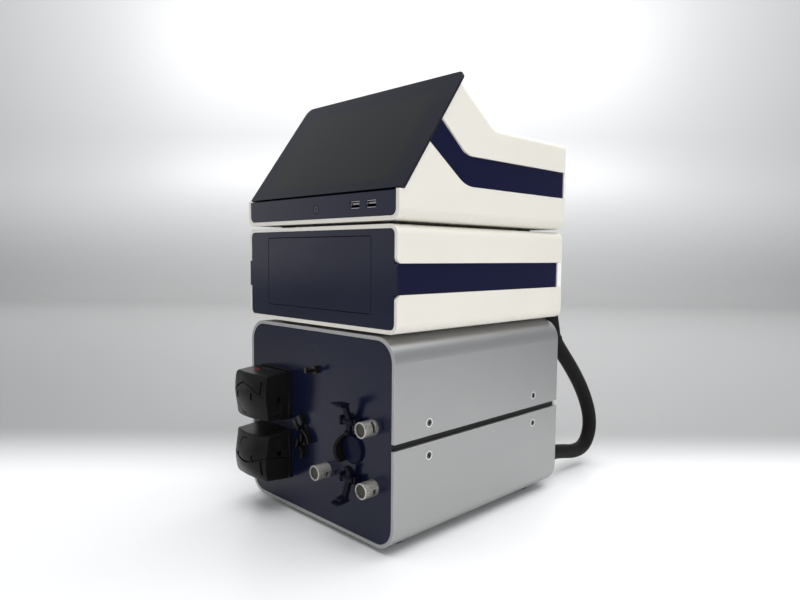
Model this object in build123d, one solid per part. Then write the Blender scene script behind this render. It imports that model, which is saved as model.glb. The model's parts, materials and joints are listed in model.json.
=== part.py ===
from build123d import *
import math
import os

# Bench electroporator: three stacked units, built from their real separate pieces.
# Millimetres, +Z up, X to the right as seen from the front. While the pieces are drawn,
# y = 0 is the front face of the lower unit and z = 0 is the bench; save() moves everything
# back by CENTRE_Y so that the origin is the middle of the footprint.

# ---------------------------------------------------------------- shared sizes
CENTRE_Y = 124.14         # middle of the depth over pumps and rear switch, from the front face
SKIN_GAP = 0.3            # gap between a panel and the cover it sits in
SHEET = 1.5               # chassis sheet
PANEL = 3.0               # front and rear panel thickness
PANEL_ROOM = 0.6          # free length between chassis and panels
RUN_GAP = 0.05            # radial clearance of a turning fit
SLIDE_GAP = 0.35          # clearance of a sliding piece

# ---------------------------------------------------------------- lower (pump) unit
LOW_HALF = 125.3          # half width over the covers
LOW_BASE = 5.0            # underside, above the feet
LOW_TOP = 216.0
LOW_DEPTH = 287.0
LOW_CORNER = 25.0
LOW_WALL = 3.7
LOW_GAP = (106.7, 113.6)  # black gap between the two covers
SCREW_Y = (49.8, 235.0)   # cover screws, from the front
SCREW_Z = (93.2, 126.8)
SCREW_HEAD = 4.6          # radius of the countersunk head
SCREW_SHANK = 2.5
SCREW_LONG = 11.0
BULKHEAD_Y = (96.0, 98.0) # inner wall of the chassis
BULKHEAD_INSET = 30.0
VENT_PITCH = 8.5
VENT_HIGH = 3.4

# ---------------------------------------------------------------- middle (drawer) unit
MID_HALF = 127.5
MID_BASE = 219.3
MID_TOP = 324.7
MID_DEPTH = 288.0
MID_CORNER = 9.5
MID_WALL_X = 3.5          # rim of the covers at the sides
MID_WALL_Z = 4.2          # rim of the covers above and below
MID_STRIPE = (257.1, 287.3)
STRIPE_SUNK = 2.0         # the stripe lies this far behind the cover
SKIRT_CORNER = 6.0        # rounded front end of each side skirt
STRIPE_END = 279.0        # rear end of the middle unit's stripe

DRAWER_MID_X = 1.7
DRAWER_WIDE = 178.4
DRAWER_LOW = 237.2
DRAWER_HIGH = 313.5
DRAWER_SEAM = 0.5
DRAWER_FACE = 8.0
TRAY_WIDE = 158.0
TRAY_LOW = 243.0
TRAY_HIGH = 265.0
TRAY_BACK = 142.0
TRAY_WALL = 2.5
RAIL_WIDE = 7.0
RAIL_BACK = 150.0
HEAD_Y = (60.0, 110.0)    # contact head over the tray
HEAD_HALF = 100.0
HEAD_SHEET = 3.0
HEAD_TOP = 306.0
ELECTRODE_HALF = 40.0
ELECTRODE_LOW = 288.0
BAR_TALL = 7.0

# ---------------------------------------------------------------- upper (screen) unit
UP_HALF = 129.8
UP_BASE = 328.0
UP_DEPTH = 291.0
UP_WALL = 4.4
UP_CORNER = 11.0
ROOF_EDGE = 6.0           # rounding along the edges of the roof
ROOF_Z = 431.5            # flat rear part of the roof
ROOF_BACK_ROUND = 8.0
ROOF_BEND = 25.0
ROOF_FRONT = (87.4, 471.5)      # roof meets the back of the glass (y, z)
ROOF_BREAK = 143.6              # where slope and flat roof would meet
STRIPE_TOP = ((56.9, 431.2), 97.75, 397.8, 28.0)     # start, break y, flat z, bend radius
STRIPE_FOOT = ((39.4, 405.8), 95.8, 366.2, 40.0)
BAND_END = 285.0
GLASS_LOW = (3.5, 359.0)        # front face of the glass, lower edge (y, z)
GLASS_HIGH = (91.2, 482.0)      # and upper edge
GLASS_HALF = 131.0
GLASS_THICK = 3.0
GLASS_ROUND = 9.0
DISPLAY_WIDE = 217.0
DISPLAY_TALL = 122.0
DISPLAY_RISE = 9.0              # from the glass's lower edge
STRIP_HALF = 125.1
STRIP_FOOT = 332.7
STRIP_TOP = 356.2
STRIP_ROUND = 8.0
USB_X = (66.4, 90.6)
USB_Z = 344.7
USB_WIDE = 14.2
USB_HIGH = 7.0
USB_FRONT = 0.9
USB_DEEP = 14.0
USB_SHEET = 0.45
BUTTON_X = 3.4
BUTTON_Z = 343.0
BUTTON_RADIUS = 4.5

# ---------------------------------------------------------------- feet
FOOT_RADIUS = 11.0
FOOT_X = 92.0
FOOT_Y = (32.0, 255.0)
PAD_RADIUS = 8.0

# ---------------------------------------------------------------- pump heads
FAR = 90.0                      # past any head, for the blocks that trim it
PUMP_X = -74.0
PUMP_Z = (135.4, 66.9)          # upper head, lower head
PUMP_LEFT = 33.0                # sides, from the middle of the rotor
PUMP_RIGHT = 31.3
PUMP_TALL = 25.7                # half height at the front edges
PUMP_DRAFT = 3.0                # how much more it is at the back
PUMP_DEEP = 31.0                # depth at the side edges
PUMP_CORNERS = (6.0, 3.0, 3.0, 7.0)     # lower left, lower right, upper right, upper left
PUMP_SOFT = 1.6                 # rounding of the front's edges
# (height from the middle, depth of the side edges, crown in the middle)
PUMP_CROWN = ((-30.0, 30.2, 8.0), (-14.0, 31.6, 9.5), (0.0, 33.2, 11.0), (14.0, 33.4, 8.5),
              (30.0, 30.4, 1.5))
PUMP_BACK = 3.0                 # mounting plate at the back of the head
# front seam between lid and body, as (x, z) from the middle of the head
UPPER_SEAM = ((-36.0, -1.5), (-24.0, 5.0), (-12.0, 13.5), (2.5, 16.8), (18.7, 9.8), (31.0, -1.0))
LOWER_SEAM = ((-36.0, -1.5), (-24.0, 0.5), (-12.0, 4.5), (1.0, 7.6), (16.0, 4.6), (31.0, -1.0))
SEAM_TILT = 8.0                 # degrees, the seam rises to the back
LID_GAP = 0.6
SEAM_GROOVE = 1.9               # width of the groove along the body's side of the seam
SEAM_GROOVE_X = (-28.0, 27.5)
FINE_DEEP = 1.5                 # depth of the fine grooves in the front
GRIP_DEEP = 4.0                 # depth of the slots beside the thumb grip
LID_SLOT_DEEP = 2.5
LID_SLOT = (25.6, 10.2, 16.5, 3.0)         # middle x, middle z, length, width
GRIP_SLOTS = ((13.8, 1.0, 8.4, 2.8), (-12.9, 1.0, 8.8, 4.2))
LOW_GROOVE = ((-3.0, -10.5), 10.2, 9.0)    # centre, outer and inner radius
LOW_GROOVE_PART = ((-12.5, -20.0), 26.0, 19.0)     # middle, width and height of what is cut
TUBE_CLAMP_Y = (-25.0, -13.5)   # recess with ribs on the right side
TUBE_CLAMP_Z = (-22.5, -7.5)
TUBE_CLAMP_DEEP = 1.8
TUBE_CLAMP_RIBS = (-22.6, -19.4, -16.2)
TUBE_CLAMP_RIB = 1.3            # width of a rib
SIDE_PANEL_Y = (-11.5, -4.0)
SIDE_PANEL_DEEP = 1.0
BODY_TOP = 11.4                 # top of the body behind its front wall
ROTOR_ROOM = 2.2                # free height over the body, under the lid
ROTOR_Z = -3.0                  # rotor axis, from the middle of the head
POCKET_RADIUS = 17.0
POCKET_Y = (-25.0, -8.0)
ROLLER_RADIUS = 4.0
ROLLER_ORBIT = 10.5
ROLLER_PIN = 1.3
ROLLER_COUNT = 3
FLANGE_RADIUS = 12.8
FLANGE_THICK = 1.8
HUB_RADIUS = 4.6
SHAFT_RADIUS = 3.0
SHAFT_ROOM = 0.2
SHAFT_END = 25.0                # inside the gearbox
TUBE_WAY_Y = (-19.0, -14.0)     # tube way through the sides of the body
TUBE_WAY_Z = (-6.2, -0.8)
LID_PIN_Y = -8.6
LID_PIN_Z = 23.2
LID_PIN_RADIUS = 1.8
LUG_RADIUS = 4.8
LUG_HALF = 12.0
LUG_ROOM = 0.5
GEARBOX_WIDE = 42.0
GEARBOX_DEEP = 32.0
MOTOR_RADIUS = 19.0
MOTOR_LONG = 52.0

# ---------------------------------------------------------------- pinch valves
VALVES = {
    "upper_right_valve": (95.4, 125.3, 20.0, 10.4),     # x, z, slot turn, slot height
    "lower_right_valve": (96.5, 65.0, -11.0, 5.6),
    "lower_left_valve": (22.2, 64.6, -14.0, 5.6),
}
SLEEVE_RADIUS = 8.1
SLEEVE_BORE = 6.75
SLEEVE_LONG = 17.3
SLEEVE_FLOOR = 1.6
SLOT_WIDE = 3.2
SLOT_Y = -6.0
PLUNGER_RADIUS = 6.5
PLUNGER_RIM = 1.1
PLUNGER_FRONT = -16.2
PLUNGER_BACK = -8.4
ROD_RADIUS = 2.4
ROD_ROOM = 0.15
ROD_END = 17.0
NECK_RADIUS = 5.8
NECK_PAST = 5.0                 # how far the neck reaches behind the panel
COIL_WIDE = 27.0
COIL_END = 45.0

# ---------------------------------------------------------------- cartridge holder
HOLD_X = 66.5
HOLD_Z = 97.0
DISC_RADIUS = 14.6
DISC_HIGH = 3.5
DISC_RIM = 1.6
GUARD_RADIUS = (15.3, 18.0)
GUARD_HIGH = 14.0
GUARD_ARC = (100.0, 232.0)      # degrees, counter-clockwise from the right
GUARD_MIDDLE = 4.6              # height of the sloping rim over the middle of the disc
GUARD_RISE = (0.45, 0.18)       # slope of that rim along x and z
CLIP_OFFSET = 29.6              # clip pins above and below the middle
CLIP_PIN_Y = -6.5
CLIP_PIN_RADIUS = 1.2
CLIP_HUB = 3.4
HUB_WIDE = 15.0
ARM_WIDE = 6.2
TAB_WIDE = 12.0
TAB_REACH = 20.0
CLIP_EAR = (10.0, 12.4)
EAR_TALL = 9.6
EAR_PLATE = 1.6

# ---------------------------------------------------------------- tube guides
JUNCTION_X = -18.0
JUNCTION_Z = 93.5
JUNCTION_HIGH = 7.0
JUNCTION_SOFT = 0.9             # rounding of the lobes' front edges
JUNCTION_PLATE = 1.2
JUNCTION_BASE = (8.0, 17.0)     # half width and half height of the base
# (x, z, half width, half height, turn) of each lobe, from the middle
JUNCTION_LOBES = ((-1.4, 18.2, 3.9, 6.6, 30.0), (-8.8, 11.6, 3.9, 6.8, 30.0),
                  (-8.6, -8.8, 3.4, 6.6, -24.0), (-0.6, -18.2, 4.0, 6.8, 12.0),
                  (0.6, -0.4, 1.7, 4.6, 0.0), (7.2, -6.2, 1.5, 2.2, 0.0))
RIB_MIDDLE = (0.5, -6.5)
RIB_RADIUS = 15.4
RIB_THICK = 2.2
RIB_ARC = (5.0, 84.0)
HOOK_X = 5.0
HOOK_Z = 170.6
HOOK_LONG = 16.0
HOOK_RADIUS = 1.9
HOOK_TIP = 6.4
HOOK_BOSS = 3.8

# ---------------------------------------------------------------- rear link cable
CABLE_X = 100.0
CABLE_RADIUS = 9.5
# (y, z) of the route, from the plug on the middle unit round to the gland below
CABLE_ROUTE = ((320.0, 184.5), (336.0, 168.5), (365.0, 142.0), (396.0, 108.0), (418.0, 71.0),
               (420.0, 43.0), (404.0, 23.5), (376.0, 22.0), (346.0, 29.0), (320.0, 33.0))
BOOT_HIGH = (298.0, 239.5)      # the boot's spine runs from here (y, z)
BOOT_LOW = (311.0, 195.0)       # to here, leaning away from the back
BOOT_RADIUS = 12.0
BOOT_FLANGE = 30.0
GLAND_NECK = 11.9
COLLAR = 1.2                    # how far the collars stand out from the cable

# ---------------------------------------------------------------- rear fittings
REAR_SUNK = 3.0           # the upper rear plate lies this far in
INLET_X = -84.0
INLET_Z = 352.0
INLET_FLANGE = (64.0, 28.0)
INLET_BODY = (27.0, 20.6)
INLET_SOCKET = (24.0, 17.0)
ROCKER_X = -52.0
ROCKER_BODY = (13.0, 19.6)
ROCKER_SIZE = (10.2, 15.6)
ROCKER_PIN = 1.0
ROCKER_PIN_DEEP = 3.0

# ---------------------------------------------------------------- control board
BOARD_HALF = 95.0
BOARD_Y = (70.0, 250.0)
POST_TALL = 8.0
TRANSFORMER_TALL = 45.0
CAPACITOR_TALL = 35.0
HEATSINK_TALL = 12.0


def along_y(sketch, front, back):
    """A sketch drawn in X and Z, extruded from y = front to y = back."""
    plane = Plane(origin=(0, back, 0), x_dir=(1, 0, 0), z_dir=(0, -1, 0))
    return extrude(plane * sketch, back - front)


def along_x(sketch, left, right):
    """A sketch drawn in Y and Z, extruded from x = left to x = right."""
    plane = Plane(origin=(left, 0, 0), x_dir=(0, 1, 0), z_dir=(1, 0, 0))
    return extrude(plane * sketch, right - left)


def along_z(sketch, low, high):
    return extrude(Plane.XY.offset(low) * sketch, high - low)


def block(x0, x1, y0, y1, z0, z1):
    middle = Pos((x0 + x1) / 2, (y0 + y1) / 2, (z0 + z1) / 2)
    return middle * Box(x1 - x0, y1 - y0, z1 - z0)


def rod_y(x, z, radius, front, back):
    return along_y(Pos(x, z) * Circle(radius), front, back)


def rod_x(y, z, radius, left, right):
    return along_x(Pos(y, z) * Circle(radius), left, right)


def rounded(x0, x1, z0, z1, radius):
    return Pos((x0 + x1) / 2, (z0 + z1) / 2) * RectangleRounded(x1 - x0, z1 - z0, radius)


def outline(*points):
    return make_face(Polyline(*points, close=True))


def corner_fillet(sketch, point, radius):
    """Round the corner of a sketch that is nearest to point."""
    corner = sketch.vertices().sort_by_distance(Vector(*point))[0]
    return fillet(corner, radius)


def both_sides(shape):
    return shape + mirror(shape, about=Plane.YZ)


def group(solids):
    return Compound(children=[s if isinstance(s, Solid) else s.solid() for s in solids])


def save(name, shape):
    moved = shape.moved(Location((0, -CENTRE_Y, 0)))
    export_step(moved, os.path.join("parts", name + ".step"))


# ======================================================================= lower unit
def lower_covers():
    """Two silver shells, open to each other over a narrow black gap."""
    outer = rounded(-LOW_HALF, LOW_HALF, LOW_BASE, LOW_TOP, LOW_CORNER)
    inner = rounded(-LOW_HALF + LOW_WALL, LOW_HALF - LOW_WALL, LOW_BASE + LOW_WALL,
                    LOW_TOP - LOW_WALL, LOW_CORNER - LOW_WALL)
    ring = along_y(outer - inner, 0, LOW_DEPTH)
    screws = [screw_hole(y, z) for y in SCREW_Y for z in SCREW_Z]
    for hole in screws:
        ring -= both_sides(hole)
    far = LOW_HALF + 1
    upper = ring & block(-far, far, -1, LOW_DEPTH + 1, LOW_GAP[1], LOW_TOP + 1)
    lower = ring & block(-far, far, -1, LOW_DEPTH + 1, LOW_BASE - 1, LOW_GAP[0])
    save("lower_unit_top_cover", upper)
    save("lower_unit_bottom_cover", lower)


def screw_hole(y, z):
    """Countersunk clearance hole through the right side, slightly larger than the screw."""
    gap = 0.3
    depth = SCREW_HEAD - SCREW_SHANK
    cone_end = LOW_HALF - depth
    cone = Pos(LOW_HALF - depth / 2, y, z) * Rot(0, 90, 0) * Cone(
        SCREW_SHANK + gap, SCREW_HEAD + gap, depth)
    return cone + rod_x(y, z, SCREW_SHANK + gap, LOW_HALF - SCREW_LONG - 1, cone_end)


def lower_screws():
    """Eight hexagon socket screws that hold the covers to the chassis."""
    depth = SCREW_HEAD - SCREW_SHANK
    sunk = 0.15
    screws = []
    for y in SCREW_Y:
        for z in SCREW_Z:
            head = Pos(LOW_HALF - depth / 2 - sunk, y, z) * Rot(0, 90, 0) * Cone(
                SCREW_SHANK, SCREW_HEAD, depth)
            shank = rod_x(y, z, SCREW_SHANK, LOW_HALF - SCREW_LONG, LOW_HALF - depth - sunk)
            key = along_x(Pos(y, z) * RegularPolygon(1.7, 6), LOW_HALF - 1.9, LOW_HALF + 1)
            screw = head + shank - key
            screws += [screw, mirror(screw, about=Plane.YZ)]
    save("lower_unit_screws", group(screws))


def lower_chassis():
    """Black sheet-metal sleeve inside the covers; its side shows in the gap."""
    rim = LOW_WALL
    outer = rounded(-LOW_HALF + rim, LOW_HALF - rim, LOW_BASE + rim, LOW_TOP - rim,
                    LOW_CORNER - rim)
    rim = LOW_WALL + SHEET
    inner = rounded(-LOW_HALF + rim, LOW_HALF - rim, LOW_BASE + rim, LOW_TOP - rim,
                    LOW_CORNER - rim)
    front, back = PANEL + PANEL_ROOM, LOW_DEPTH - PANEL - PANEL_ROOM
    sleeve = along_y(outer - inner, front, back)
    for y in SCREW_Y:
        for z in SCREW_Z:
            sleeve -= rod_x(y, z, SCREW_SHANK + 0.3, -LOW_HALF, LOW_HALF)
    wall = block(-LOW_HALF + rim, LOW_HALF - rim, *BULKHEAD_Y, LOW_BASE + rim + BULKHEAD_INSET,
                 LOW_TOP - rim - BULKHEAD_INSET)
    save("lower_unit_chassis", sleeve + wall)


def lower_front_panel():
    """Navy front plate with holes for pump shafts and valve necks."""
    inset = LOW_WALL + SKIN_GAP
    plate = along_y(rounded(-LOW_HALF + inset, LOW_HALF - inset, LOW_BASE + inset,
                            LOW_TOP - inset, LOW_CORNER - inset), 0, PANEL)
    for z in PUMP_Z:
        side = 1 if z == PUMP_Z[0] else -1
        plate -= rod_y(PUMP_X, z + side * ROTOR_Z, SHAFT_RADIUS + 1.5, -1, PANEL + 1)
    for x, z, turn, high in VALVES.values():
        plate -= rod_y(x, z, NECK_RADIUS + 0.05, -1, PANEL + 1)
    save("lower_unit_front_panel", plate)


def vents(x, first, rows, long, face):
    """Level slots through a rear plate, one above the other."""
    slots = [Pos(x, first + row * VENT_PITCH) * SlotOverall(long, VENT_HIGH)
             for row in range(rows)]
    return along_y(Sketch() + slots, face - 2 * PANEL, face + 1)


def lower_rear_panel():
    """Rear plate with vent slots and the hole of the cable gland."""
    inset = LOW_WALL + SKIN_GAP
    plate = along_y(rounded(-LOW_HALF + inset, LOW_HALF - inset, LOW_BASE + inset,
                            LOW_TOP - inset, LOW_CORNER - inset), LOW_DEPTH - PANEL, LOW_DEPTH)
    plate -= vents(-45, 100, 9, 90, LOW_DEPTH)
    plate -= rod_y(CABLE_X, CABLE_ROUTE[-1][1], GLAND_NECK + 0.2, LOW_DEPTH - PANEL - 1,
                   LOW_DEPTH + 1)
    save("lower_unit_rear_panel", plate)


def feet():
    """Rubber feet under the lower unit, and thin pads between the stacked units."""
    low = []
    pads = []
    for x in (-FOOT_X, FOOT_X):
        for y in FOOT_Y:
            foot = along_z(Pos(x, y) * Circle(FOOT_RADIUS), 0, LOW_BASE)
            low.append(chamfer(foot.edges().group_by(Axis.Z)[0], 1.0))
            for base, top in ((LOW_TOP, MID_BASE), (MID_TOP, UP_BASE)):
                pads.append(along_z(Pos(x, y) * Circle(PAD_RADIUS), base, top))
    save("lower_unit_feet", group(low))
    save("stacking_pads", group(pads))


# ======================================================================= pump heads
def head_outline(front):
    """Front view of a head at depth y = front: taller towards the back, four own corners."""
    tall = PUMP_TALL + PUMP_DRAFT * (1 + front / PUMP_DEEP)
    left, right = -PUMP_LEFT, PUMP_RIGHT
    shape = outline((left, -tall), (right, -tall), (right, tall), (left, tall))
    for point, radius in zip(((left, -tall), (right, -tall), (right, tall), (left, tall)),
                             PUMP_CORNERS):
        shape = corner_fillet(shape, point, radius)
    return Plane(origin=(0, front, 0), x_dir=(1, 0, 0), z_dir=(0, -1, 0)) * shape


def pump_blank():
    """Crowned outer form of a pump head, drawn about its own middle, front at -Y."""
    sections = []
    middle_x = (PUMP_RIGHT - PUMP_LEFT) / 2
    for level, side, crown in PUMP_CROWN:
        sides = Polyline((-PUMP_LEFT - 1, -side, level), (-PUMP_LEFT - 1, 1, level),
                         (PUMP_RIGHT + 1, 1, level), (PUMP_RIGHT + 1, -side, level))
        front = ThreePointArc((PUMP_RIGHT + 1, -side, level), (middle_x, -side - crown, level),
                              (-PUMP_LEFT - 1, -side, level))
        sections.append(make_face(sides + front))
    form = loft(sections)
    blank = form & loft([head_outline(-1.6 * PUMP_DEEP), head_outline(0)], ruled=True)
    front_face = blank.faces().sort_by(Axis.Y)[0]
    return fillet(front_face.edges(), PUMP_SOFT)


def seam_area(seam, shift, below):
    """Everything above or below the arched seam, as a block that rises to the back."""
    points = [(x, z + shift) for x, z in seam]
    far = -FAR if below else FAR
    start, end = points[0], points[-1]
    border = Polyline(end, (end[0], far), (start[0], far), start)
    area = along_y(make_face(Spline(*points) + border), -FAR, FAR)
    return Pos(0, -PUMP_DEEP, 0) * Rot(SEAM_TILT, 0, 0) * Pos(0, PUMP_DEEP, 0) * area


def pump_body(blank, seam):
    """Lower part with the rotor's pocket, tube ways, and the lug that holds the lid."""
    front, back = POCKET_Y
    body = blank & seam_area(seam, 0, True)
    body -= block(-FAR, FAR, front, FAR, BODY_TOP, FAR)
    body -= rod_y(0, ROTOR_Z, POCKET_RADIUS, front, back)
    body += blank & block(-FAR, FAR, -PUMP_BACK, 0, -FAR, FAR)
    lug_front = LID_PIN_Y - LUG_RADIUS
    body += block(-LUG_HALF, LUG_HALF, lug_front, -PUMP_BACK, BODY_TOP + 1, LID_PIN_Z)
    body += block(-LUG_HALF, LUG_HALF, back, -PUMP_BACK, BODY_TOP - 1, BODY_TOP + 1)
    body += rod_x(LID_PIN_Y, LID_PIN_Z, LUG_RADIUS, -LUG_HALF, LUG_HALF)
    body -= rod_x(LID_PIN_Y, LID_PIN_Z, LID_PIN_RADIUS + RUN_GAP, -FAR, FAR)
    body -= rod_y(0, ROTOR_Z, SHAFT_RADIUS + SHAFT_ROOM, back - 1, 1)
    for x0, x1 in ((-FAR, -HUB_RADIUS), (HUB_RADIUS, FAR)):
        body -= block(x0, x1, *TUBE_WAY_Y, *TUBE_WAY_Z)
    body -= front_skin(blank, GRIP_DEEP) & along_y(grip_slots(), -FAR, 0)
    body -= front_skin(blank, FINE_DEEP) & (along_y(low_groove(), -FAR, 0) + seam_groove(seam))
    return body - side_details()


def pump_lid(blank, seam):
    """Upper part on the hinge pin, open around the lug of the body."""
    lid = blank & seam_area(seam, LID_GAP, False)
    lid &= block(-FAR, FAR, -FAR, LID_PIN_Y + LUG_RADIUS, -FAR, FAR)
    lid -= block(-POCKET_RADIUS, POCKET_RADIUS, POCKET_Y[0], 1, -FAR, BODY_TOP + ROTOR_ROOM)
    corner = block(-FAR, FAR, LID_PIN_Y, 1, LID_PIN_Z, FAR)
    lid -= corner - rod_x(LID_PIN_Y, LID_PIN_Z, LUG_RADIUS, -FAR, FAR)
    room_front = LID_PIN_Y - LUG_RADIUS - LUG_ROOM
    lid -= block(-LUG_HALF - LUG_ROOM, LUG_HALF + LUG_ROOM, room_front, 1, 0, FAR)
    lid += rod_x(LID_PIN_Y, LID_PIN_Z, LID_PIN_RADIUS, -PUMP_LEFT + 1, PUMP_RIGHT - 1)
    return lid - (front_skin(blank, LID_SLOT_DEEP) & along_y(upright_slot(*LID_SLOT), -FAR, 0))


def front_skin(blank, depth):
    """The outermost layer of the head's crowned front."""
    return blank - Pos(0, depth, 0) * blank


def seam_groove(seam):
    """Strip of the body just below the arched seam."""
    strip = seam_area(seam, 0, True) & seam_area(seam, -SEAM_GROOVE, False)
    return strip & block(*SEAM_GROOVE_X, -FAR, 0, -FAR, FAR)


def upright_slot(x, z, long, wide):
    return Pos(x, z) * SlotOverall(long, wide, rotation=90)


def grip_slots():
    """Slots each side of the thumb grip, below the arch of the seam."""
    right, left = GRIP_SLOTS
    return upright_slot(*right) + upright_slot(*left)


def low_groove():
    """Fine curved groove low on the left of the front."""
    centre, outer, inner = LOW_GROOVE
    middle, wide, tall = LOW_GROOVE_PART
    ring = Pos(*centre) * (Circle(outer) - Circle(inner))
    return ring & Pos(*middle) * Rectangle(wide, tall)


def side_details():
    """Recess with ribs of the tube clamp, and a plain panel behind it, on the right side."""
    floor = PUMP_RIGHT - TUBE_CLAMP_DEEP
    foot, top = TUBE_CLAMP_Z
    recess = block(floor, FAR, *TUBE_CLAMP_Y, foot, top)
    for front in TUBE_CLAMP_RIBS:
        rib_end = front + TUBE_CLAMP_RIB
        recess -= block(floor - 1, PUMP_RIGHT - 0.6, front, rib_end, foot + 2, top - 2)
    return recess + block(PUMP_RIGHT - SIDE_PANEL_DEEP, FAR, *SIDE_PANEL_Y, foot, top)


def pump_rotor():
    """Hub, two flanges, three roller pins and the drive shaft, about the head's middle."""
    front, back = POCKET_Y
    near = front + 0.6
    far = back - 0.6
    rotor = rod_y(0, ROTOR_Z, HUB_RADIUS, near, far)
    rotor += rod_y(0, ROTOR_Z, FLANGE_RADIUS, near, near + FLANGE_THICK)
    rotor += rod_y(0, ROTOR_Z, FLANGE_RADIUS, far - FLANGE_THICK, far)
    rotor += rod_y(0, ROTOR_Z, SHAFT_RADIUS, far, SHAFT_END)
    for x, z in roller_places():
        rotor += rod_y(x, z, ROLLER_PIN, near, far)
    return rotor


def roller_places():
    turn = 2 * math.pi / ROLLER_COUNT
    angles = [math.pi / 2 + k * turn for k in range(ROLLER_COUNT)]
    return [(ROLLER_ORBIT * math.cos(a), ROTOR_Z + ROLLER_ORBIT * math.sin(a)) for a in angles]


def pump_roller(x, z):
    inset = FLANGE_THICK + 0.9
    front = POCKET_Y[0] + inset
    back = POCKET_Y[1] - inset
    tube = rod_y(x, z, ROLLER_RADIUS, front, back)
    return tube - rod_y(x, z, ROLLER_PIN + RUN_GAP, front - 1, back + 1)


def pump_heads():
    """The lower head is the upper one upside down, with a flatter seam."""
    blank = pump_blank()
    for name, height, flip, seam in (("upper", PUMP_Z[0], False, UPPER_SEAM),
                                     ("lower", PUMP_Z[1], True, LOWER_SEAM)):
        pieces = {"body": pump_body(blank, seam), "lid": pump_lid(blank, seam),
                  "rotor": pump_rotor()}
        for number, (x, z) in enumerate(roller_places(), 1):
            pieces[f"roller_{number}"] = pump_roller(x, z)
        for kind, piece in pieces.items():
            turned = mirror(piece, about=Plane.XY) if flip else piece
            save(f"{name}_pump_{kind}", turned.moved(Location((PUMP_X, 0, height))))


def pump_motors():
    """Two geared motors on the back of the front panel, one for each head."""
    motors = []
    for height, side in ((PUMP_Z[0], 1), (PUMP_Z[1], -1)):
        z = height + side * ROTOR_Z
        gearbox_end = PANEL + GEARBOX_DEEP
        gearbox = along_y(Pos(PUMP_X, z) * RectangleRounded(GEARBOX_WIDE, GEARBOX_WIDE, 4),
                          PANEL, gearbox_end)
        can = rod_y(PUMP_X, z, MOTOR_RADIUS, gearbox_end, gearbox_end + MOTOR_LONG)
        bore = rod_y(PUMP_X, z, SHAFT_RADIUS + RUN_GAP, PANEL - 1, SHAFT_END + 0.6)
        motors.append(gearbox + can - bore)
    save("pump_motors", group(motors))


# ======================================================================= pinch valves
def valves():
    coils = []
    rod_hole = ROD_RADIUS + ROD_ROOM
    neck_end = PANEL + NECK_PAST
    for name, (x, z, turn, high) in VALVES.items():
        sleeve = rod_y(x, z, SLEEVE_RADIUS, -SLEEVE_LONG, 0)
        sleeve = chamfer(sleeve.edges().group_by(Axis.Y)[0], 0.4)
        sleeve -= rod_y(x, z, SLEEVE_BORE, -SLEEVE_LONG - 1, -SLEEVE_FLOOR)
        sleeve += rod_y(x, z, NECK_RADIUS, -SLEEVE_FLOOR, neck_end)
        sleeve -= rod_y(x, z, rod_hole, -SLEEVE_FLOOR - 1, neck_end + 1)
        slot = block(0, 2 * SLEEVE_RADIUS, SLOT_Y - SLOT_WIDE / 2, SLOT_Y + SLOT_WIDE / 2,
                     -high / 2, high / 2)
        sleeve -= Pos(x, 0, z) * Rot(0, -turn, 0) * both_sides(slot)
        save(name + "_sleeve", sleeve)
        head = rod_y(x, z, PLUNGER_RADIUS, PLUNGER_FRONT, PLUNGER_BACK)
        head -= rod_y(x, z, PLUNGER_RADIUS - PLUNGER_RIM, PLUNGER_FRONT - 1, PLUNGER_FRONT + 0.5)
        head += rod_y(x, z, ROD_RADIUS, PLUNGER_BACK, ROD_END)
        save(name + "_plunger", head)
        coil = along_y(Pos(x, z) * RectangleRounded(COIL_WIDE, COIL_WIDE, 3), neck_end + 0.2,
                       COIL_END)
        coils.append(coil - rod_y(x, z, rod_hole, 0, ROD_END + 6))
    save("valve_solenoids", group(coils))


# ======================================================================= cartridge holder
def arc_wedge(start, end):
    """Four-cornered sector from the middle, wide enough to cut a ring between two angles."""
    reach = 3 * GUARD_RADIUS[1]
    angles = [math.radians(a) for a in (start, (start + end) / 2, end)]
    return outline((0, 0), *[(reach * math.cos(a), reach * math.sin(a)) for a in angles])


def cartridge_holder():
    """Curved guard whose rim rises to the lower left, and the flat contact disc beside it."""
    low, high = GUARD_RADIUS
    ring = (Circle(high) - Circle(low)) & arc_wedge(*GUARD_ARC)
    guard = along_y(ring, -GUARD_HIGH, 0)
    rise_x, rise_z = GUARD_RISE
    rim = Plane(origin=(0, -GUARD_MIDDLE, 0), z_dir=(rise_x, -1, rise_z))
    guard -= extrude(rim * Rectangle(FAR, FAR), FAR)
    save("cartridge_guard", Pos(HOLD_X, 0, HOLD_Z) * guard)
    disc = rod_y(HOLD_X, HOLD_Z, DISC_RADIUS, -DISC_HIGH, 0)
    disc = chamfer(disc.edges().group_by(Axis.Y)[0], 0.7)
    disc -= rod_y(HOLD_X, HOLD_Z, DISC_RADIUS - DISC_RIM, -DISC_HIGH - 1, -DISC_HIGH + 0.5)
    save("contact_disc", disc)


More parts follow.
